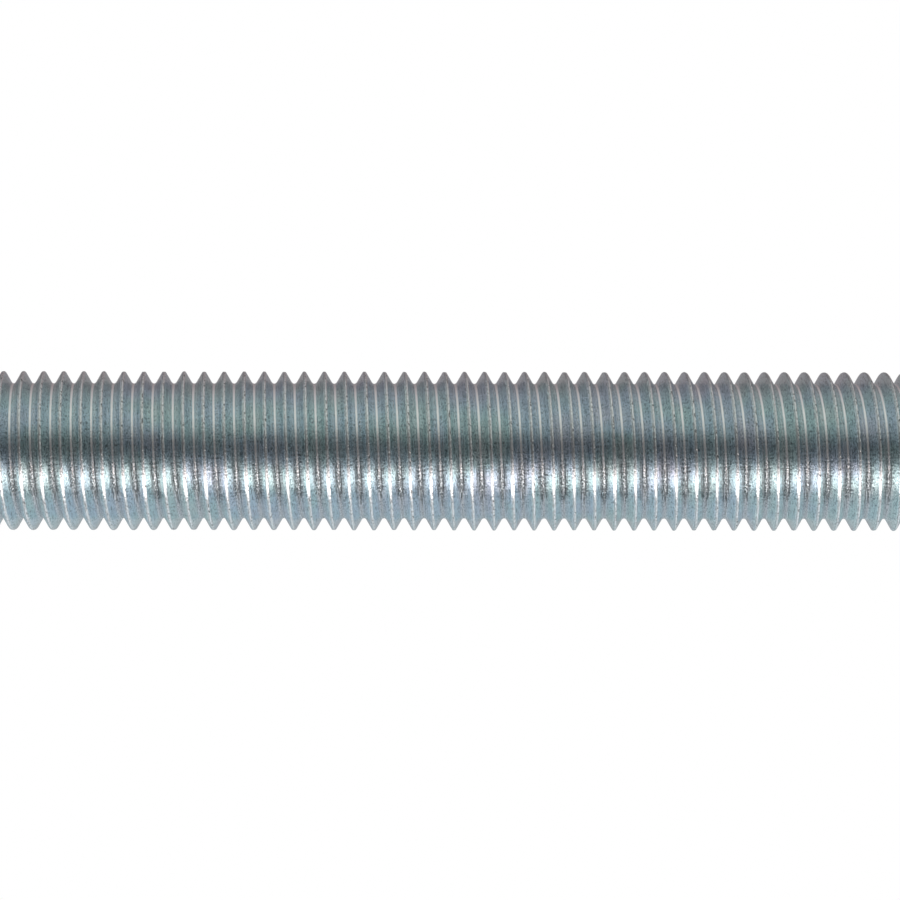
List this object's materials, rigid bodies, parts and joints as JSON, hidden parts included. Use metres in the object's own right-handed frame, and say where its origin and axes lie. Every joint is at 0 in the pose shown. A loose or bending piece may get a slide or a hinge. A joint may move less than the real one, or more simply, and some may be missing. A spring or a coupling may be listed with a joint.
{
  "type": "threaded rod",
  "caption": "Fully threaded steel rod with a coarse right-hand metric thread and chamfered ends, bright zinc plated, standing on one end face.",
  "frame": {"origin": "centre of the lower end face, on the rod's axis", "axes": "+Z along the rod's axis from the lower end face to the upper; +X and +Y across it; a crest leaves the lower end face 293 degrees round from +X"},
  "size_m": [0.016, 0.016, 0.12],
  "materials": {
    "zinc_plated_steel": "bright zinc plate with a blue-white passivation, satin"
  },
  "bodies": {
    "root": {"rod": "zinc_plated_steel"}
  },
  "joints": []
}
